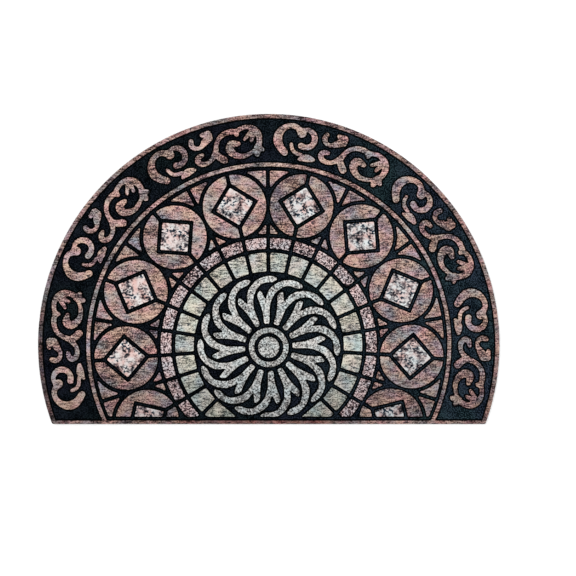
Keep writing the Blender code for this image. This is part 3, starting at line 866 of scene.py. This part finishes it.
class Paint:
    """One material, with a print's dull face unless told otherwise.

    Each method adds nodes and gives back the socket that comes out of them.
    """

    def __init__(self, name, roughness=0.9, specular=0.06, sheen=0.04):
        self.material = bpy.data.materials.new(name)
        self.material.use_nodes = True
        self.tree = self.material.node_tree
        self.shader = self.tree.nodes["Principled BSDF"]
        self.shader.inputs["Roughness"].default_value = roughness
        self.shader.inputs["Specular IOR Level"].default_value = specular
        self.shader.inputs["Sheen Weight"].default_value = sheen
        self.shader.inputs["Sheen Roughness"].default_value = SHEEN_ROUGHNESS
        self.place = self.node("ShaderNodeTexCoord").outputs["Object"]
        parts = self.node("ShaderNodeSeparateXYZ")
        self.feed(parts.inputs["Vector"], self.place)
        self.x, self.y, self.z = parts.outputs
        self.tone = self.node("ShaderNodeAttribute", attribute_name="tone").outputs["Fac"]
        self.edge_highlight = self.node("ShaderNodeAttribute", attribute_name="edge_highlight").outputs["Fac"]

    def node(self, kind, **settings):
        node = self.tree.nodes.new(kind)
        for name, value in settings.items():
            setattr(node, name, value)
        return node

    def feed(self, socket, value):
        """Joins a socket to another, or gives it a plain value."""
        if isinstance(value, bpy.types.NodeSocket):
            self.tree.links.new(value, socket)
        else:
            socket.default_value = value

    def reckon(self, operation, a, b):
        node = self.node("ShaderNodeMath", operation=operation)
        self.feed(node.inputs[0], a)
        self.feed(node.inputs[1], b)
        return node.outputs[0]

    def add(self, a, b):
        return self.reckon("ADD", a, b)

    def times(self, a, b):
        return self.reckon("MULTIPLY", a, b)

    def less(self, a, b):
        return self.reckon("SUBTRACT", a, b)

    def larger(self, a, b):
        return self.reckon("MAXIMUM", a, b)

    def grain(self, size, stretch=1.0, detail=4.0, seed=0.0):
        """Noise about zero in lumps of one size, drawn out along X."""
        mapping = self.node("ShaderNodeMapping")
        self.feed(mapping.inputs["Vector"], self.place)
        mapping.inputs["Location"].default_value = (seed, seed, 0.0)
        mapping.inputs["Scale"].default_value = (1 / (size * stretch), 1 / size, 1 / size)
        texture = self.node("ShaderNodeTexNoise", noise_dimensions="2D")
        self.feed(texture.inputs["Vector"], mapping.outputs["Vector"])
        texture.inputs["Scale"].default_value = 1.0
        texture.inputs["Detail"].default_value = detail
        return self.less(texture.outputs["Fac"], MIDDLE)

    def crystals(self, size):
        """Small cells, each with its own value about zero."""
        texture = self.node("ShaderNodeTexVoronoi", voronoi_dimensions="2D")
        self.feed(texture.inputs["Vector"], self.place)
        texture.inputs["Scale"].default_value = 1 / size
        parts = self.node("ShaderNodeSeparateColor")
        self.feed(parts.inputs["Color"], texture.outputs["Color"])
        return self.less(parts.outputs["Red"], MIDDLE)

    def speckles(self, size, weight, middle=MIDDLE):
        return self.add(middle, self.times(self.crystals(size), weight))

    def layers(self, rows, total=MIDDLE):
        """The total and more: grains that are each given as size, stretch and weight."""
        for seed, (size, stretch, weight) in enumerate(rows):
            grain = self.grain(size, stretch, seed=SEED + seed)
            total = self.add(total, self.times(grain, weight))
        return total

    def step(self, value, low, high):
        """0 where the value is under low, 1 over high, and a soft step between them."""
        node = self.node("ShaderNodeMapRange", interpolation_type="SMOOTHSTEP")
        self.feed(node.inputs["Value"], value)
        node.inputs["From Min"].default_value = low
        node.inputs["From Max"].default_value = high
        return node.outputs["Result"]

    def between(self, value, low, high):
        """low where the value is 0, high where it is 1, and straight on between them."""
        node = self.node("ShaderNodeMapRange")
        self.feed(node.inputs["Value"], value)
        node.inputs["To Min"].default_value = low
        node.inputs["To Max"].default_value = high
        return node.outputs["Result"]

    def mixed(self, share, a, b, blend="MIX"):
        """Two colours mixed, through the node's colour sockets, which are 6, 7 and 2."""
        node = self.node("ShaderNodeMix", data_type="RGBA", blend_type=blend)
        self.feed(node.inputs["Factor"], share)
        self.feed(node.inputs[6], a)
        self.feed(node.inputs[7], b)
        return node.outputs[2]

    def cast(self, colour, share, low, high):
        """The colour times a cast that runs from low to high as the share runs from 0 to 1."""
        return self.mixed(1.0, colour, self.mixed(share, (*low, 1.0), (*high, 1.0)), "MULTIPLY")

    def patches(self, colour, size, low, high, seed, stretch=1.0):
        """The colour drifting between two casts from place to place."""
        share = self.step(self.grain(size, stretch, detail=3.0, seed=seed), *PATCH_REACH)
        return self.cast(colour, share, low, high)

    def marked(self, colour, size, stretch, reach, seed, strength=1.0, shade=DASH):
        """Small dark marks, thicker in some places than in others."""
        marks = self.grain(size, stretch, detail=1.0, seed=seed)
        marks = self.step(marks, reach, reach + MARK_EDGE)
        crowd = self.step(self.grain(CROWD_SIZE, detail=1.0, seed=seed + 1.0), *CROWD_REACH)
        return self.cast(colour, self.times(self.times(marks, crowd), strength), PLAIN, shade)

    def palette(self, value, shares):
        """Colours, each over its share of a surface whose value is spread like a bell."""
        bell = NormalDist(MIDDLE, BELL)
        ramp = self.node("ShaderNodeValToRGB")
        self.feed(ramp.inputs["Fac"], value)
        elements = ramp.color_ramp.elements
        elements.remove(elements[1])
        covered = 0.0
        whole = sum(share for share, _ in shares)
        for k, (share, colour) in enumerate(shares):
            middle = bell.inv_cdf((covered + share / 2) / whole)
            covered += share
            element = elements[0] if k == 0 else elements.new(middle)
            element.position = middle
            element.color = seen(*colour)
        return ramp.outputs["Color"]

    def fuzz(self, strength, distance):
        """Fine bumps all over."""
        node = self.node("ShaderNodeBump")
        self.feed(node.inputs["Height"], self.grain(FUZZ_SIZE, detail=1.0, seed=FUZZ_SEED))
        node.inputs["Strength"].default_value = strength
        node.inputs["Distance"].default_value = distance
        self.feed(self.shader.inputs["Normal"], node.outputs["Normal"])

    def finished(self, colour):
        self.feed(self.shader.inputs["Base Color"], colour)
        return self.material


def printed(paint, colour, front_cast=FRONT_DARKENING):
    """The print over a stone's face, ending in bare rubber on its sides.

    It has a painted highlight along the face's edge, and it darkens towards the mat's front.
    """
    # darker towards the mat's front, lighter further back
    colour = paint.cast(colour, paint.step(paint.y, *FRONT_DARKENING_REACH), front_cast, BACK_LIGHTENING)
    ragged = paint.times(paint.grain(RAGGED_SIZE, seed=7.0), RAGGED_DEPTH)
    share = paint.step(paint.add(paint.z, ragged), PRINT_FROM, PRINT_TO)
    # painted highlight along the face's edge, in patches
    highlit = paint.step(paint.grain(HIGHLIGHT_SIZE, seed=9.0), *HIGHLIGHT_REACH)
    colour = paint.cast(colour, paint.times(paint.edge_highlight, highlit), PLAIN, HIGHLIGHT_CAST)
    paint.fuzz(strength=0.35, distance=0.0003)
    return paint.finished(paint.mixed(share, seen(*RUBBER), colour))


def toned(paint, value, share):
    """The value moved by the stone's own tone."""
    return paint.add(value, paint.times(paint.tone, share))


def marble(name, grains, shares, cool):
    """Streaked marble with salmon, sand and grey patches and short dark dashes."""
    paint = Paint(name)
    colour = paint.palette(toned(paint, paint.layers(grains), share=0.05), shares)
    colour = paint.patches(colour, size=0.031, low=cool, high=WARM, seed=21, stretch=1.3)
    colour = paint.patches(colour, size=0.019, low=ROSY, high=OLIVE, seed=23, stretch=1.6)
    colour = paint.marked(colour, size=0.0027, stretch=3.0, reach=0.075, seed=27)
    return paint, colour


def pink_marble(name, cool):
    return printed(*marble(name, PINK_MARBLE_GRAINS, PINK_MARBLE, cool))


def strip_marble():
    """The strips' marble, darker by the share in their tone, and darker and greyer at the rim's
    left end.
    """
    name = "pink marble print of the strips"
    paint, colour = marble(name, STRIP_MARBLE_GRAINS, STRIP_MARBLE, STRIP_COOL)
    colour = paint.cast(colour, paint.tone, PLAIN, STRIP_SHADE)
    clear = paint.larger(paint.step(paint.x, *LEFT_END_X), paint.step(paint.y, *LEFT_END_Y))
    clear = paint.larger(clear, paint.less(1.0, paint.step(paint.y, *LEFT_END_FRONT)))
    return printed(paint, paint.cast(colour, clear, LEFT_END_CAST, PLAIN), STRIP_FRONT_DARKENING)


def white_granite():
    """Pale granite with pink patches and dark clots, cooler and darker towards the right."""
    paint = Paint("white granite print")
    right = paint.step(paint.x, *SQUARES_X)
    value = paint.layers(WHITE_GRANITE_GRAINS, paint.speckles(size=0.0022, weight=0.25))
    value = paint.add(value, paint.between(right, *SQUARES_LIFT))
    colour = paint.palette(toned(paint, value, share=0.02), WHITE_GRANITE)
    colour = paint.cast(colour, right, SQUARES_LEFT, SQUARES_RIGHT)
    colour = paint.patches(colour, size=0.017, low=SALMON, high=ICY, seed=33)
    colour = paint.marked(colour, size=0.0040, stretch=1.3, reach=-0.01, seed=37, shade=CLOT)
    return printed(paint, colour)


def pink_granite():
    """Close dark speckles on pink granite."""
    paint = Paint("pink granite print")
    value = paint.layers(PINK_GRANITE_GRAINS, paint.speckles(size=0.0018, weight=0.66))
    colour = paint.palette(toned(paint, value, share=0.04), PINK_GRANITE)
    colour = paint.patches(colour, size=0.026, low=BLUISH, high=BLUSHING, seed=43)
    return printed(paint, colour)


def pale_marble():
    """Marble that drifts from beige to a greenish grey, with thin dark streaks."""
    paint = Paint("pale marble print")
    value = paint.layers(PALE_MARBLE_GRAINS)
    colour = paint.palette(toned(paint, value, share=0.06), PALE_MARBLE)
    colour = paint.patches(colour, size=0.036, low=TEAL_GREY, high=BEIGE, seed=51)
    colour = paint.patches(colour, size=0.030, low=PALE_ROSE, high=PALE_GREEN, seed=53)
    colour = paint.marked(colour, size=0.0030, stretch=3.2, reach=0.07, seed=57)
    return printed(paint, colour)


def grey_granite(name, size, middle):
    """Grey granite with small dark and pale grains."""
    paint = Paint(name)
    value = paint.layers(GREY_GRANITE_GRAINS, paint.speckles(size, weight=0.52, middle=middle))
    colour = paint.palette(toned(paint, value, share=0.03), GREY_GRANITE)
    colour = paint.patches(colour, size=0.020, low=STEEL, high=SAND, seed=63)
    colour = paint.marked(colour, size=0.0026, stretch=1.0, reach=0.13, seed=67, strength=0.8)
    return printed(paint, colour)


def black_rubber():
    """Smooth black rubber with faint clouds in it and a fine skin."""
    paint = Paint("black rubber", roughness=0.6, specular=0.2, sheen=0.0)
    clouds = paint.step(paint.grain(CLOUD_SIZE, stretch=2.0, seed=75), *CLOUD_REACH)
    paint.fuzz(strength=0.25, distance=0.0001)
    return paint.finished(paint.cast(seen(*RUBBER), clouds, *RUBBER_CLOUDS))


def dark_flock():
    """Painted shade in the grooves, and short blue-black flock over the ground between."""
    paint = Paint("dark flock", roughness=0.85, specular=0.01, sheen=0.0)
    flock = paint.palette(paint.layers(FLOCK_GRAINS), FLOCK)
    # painted sheen: the flock is paler and bluer towards the right, as if the light caught it
    # there
    flock = paint.cast(flock, paint.step(paint.x, *GROUND_SHEEN_X), PLAIN, GROUND_SHEEN_RIGHT)
    flock = paint.patches(flock, size=0.110, low=TEAL, high=NAVY, seed=73)
    # painted shade in the grooves, and flock further out
    share = paint.step(paint.tone, *GROOVE_SHADE_REACH)
    paint.fuzz(strength=0.5, distance=0.0003)
    return paint.finished(paint.mixed(share, seen(*GROOVE_SHADE), flock))


def area_light(name, place, size, power):
    light = bpy.data.lights.new(name, "AREA")
    light.shape = "SQUARE"
    light.size = size
    light.energy = power
    lamp = bpy.data.objects.new(name, light)
    lamp.location = place
    lamp.rotation_euler = (-Vector(place)).to_track_quat("-Z", "Y").to_euler()
    bpy.context.scene.collection.objects.link(lamp)


def studio():
    """A plain pale floor, wide soft lights and an even pale surround."""
    bpy.ops.mesh.primitive_plane_add(size=FLOOR_SIZE, location=(0.0, 0.0, FLOOR_Z))
    floor = bpy.context.object
    floor.name = "floor"
    paint = Paint("pale floor", roughness=0.9, specular=0.1, sheen=0.0)
    paint.shader.inputs["Emission Strength"].default_value = FLOOR_GLOW
    floor.data.materials.append(paint.finished(seen(*FLOOR_COLOUR)))
    for row in LIGHTS:
        area_light(*row)
    world = bpy.data.worlds.new("surround")
    world.use_nodes = True
    background = world.node_tree.nodes["Background"]
    background.inputs["Color"].default_value = (*PLAIN, 1.0)
    background.inputs["Strength"].default_value = SURROUND
    bpy.context.scene.world = world
    bpy.context.scene.view_settings.view_transform = "Standard"


def camera():
    data = bpy.data.cameras.new("camera")
    data.lens = CAMERA_LENS
    data.sensor_width = CAMERA_SENSOR
    eye = bpy.data.objects.new("camera", data)
    eye.location = CAMERA_PLACE
    bpy.context.scene.collection.objects.link(eye)
    bpy.context.scene.camera = eye


def kinds_of_stone():
    """The outlines, finish and slot of each kind of stone, by name."""
    units = [merged([wound(outline) for outline in scroll_unit(k)]) for k in range(SCROLL_UNITS)]
    scrolls = [[loop] for loops in units for loop in loops]
    hub_ring = [wound(full_circle(HUB_RINGS[1])), wound(full_circle(HUB_RINGS[0]), -1)]
    marble_print = pink_marble("pink marble print", COOL)
    blade_print = grey_granite("grey granite print", size=0.0019, middle=0.51)
    hub_print = grey_granite("grey granite print of the hub", size=0.0015, middle=0.47)
    scroll_print = pink_marble("pink marble print of the scrolls", SCROLL_COOL)
    return {
        "scrolls": (scrolls, scroll_print, "pink_marble"),
        "roundels": (trimmed(roundel_halves()), marble_print, "pink_marble"),
        "triangles": (trimmed(triangles()), marble_print, "pink_marble"),
        "squares": (trimmed(squares()), white_granite(), "white_granite"),
        "bricks": (trimmed(cells(BRICK_RINGS, CELLS_A_SIDE)), pink_granite(), "pink_granite"),
        "wedges": (trimmed(wedges()), pale_marble(), "pale_marble"),
        "rosette": (trimmed(blades()), blade_print, "grey_granite"),
        "hub": ([[full_circle(HUB_RADIUS)], hub_ring], hub_print, "grey_granite"),
    }


def strip_piece(outline, fields, shuffle):
    """The strips along the rim, the inner ring and the front, which are one stone."""
    points, faces, edge_highlight = stone([inset(outline, STRIP_INSET), *fields], shuffle)
    piece = as_piece("strips", [(points, faces, strip_shades(points), edge_highlight)])
    piece.data.materials.append(strip_marble())
    return piece


def slab_piece(outline, edge, shuffle):
    """The slab, flocked on top and smooth on its side and below."""
    points, faces = slab(outline, edge, shuffle)
    # 0 where the ground is painted in shade along the stones' feet, 1 out on the open ground
    unshaded = eased(-edge.gaps(points[:, :2]), *GROOVE_WIDTHS)
    piece = as_piece("slab", [(points, faces, unshaded, 0.0)])
    piece.data.materials.append(dark_flock())
    piece.data.materials.append(black_rubber())
    lowest = [min(points[k][2] for k in face) for face in faces]
    piece.data.polygons.foreach_set("material_index", [int(z < SIDE_TOP) for z in lowest])
    return piece


def main():
    shuffle = np.random.default_rng(SEED)
    camera()
    studio()
    outline = moulded(wound(mat_outline()))
    fields = [moulded(wound(field, -1)) for field in (scroll_field(), inner_field())]
    loops = [*fields]
    pieces = []
    for name, (drawn, material, slot) in kinds_of_stone().items():
        shaped = [[moulded(loop) for loop in group] for group in drawn]
        loops += [loop for group in shaped for loop in group]
        piece = stones(name, shaped, shuffle)
        piece.data.materials.append(material)
        pieces.append(piece)
    pieces.append(strip_piece(outline, fields, shuffle))
    base = slab_piece(outline, Edge(loops), shuffle)
    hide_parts("mat")
    for piece in [base, *pieces]:
        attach(piece, "root")
    round(signed_area(outline), 4)


main()
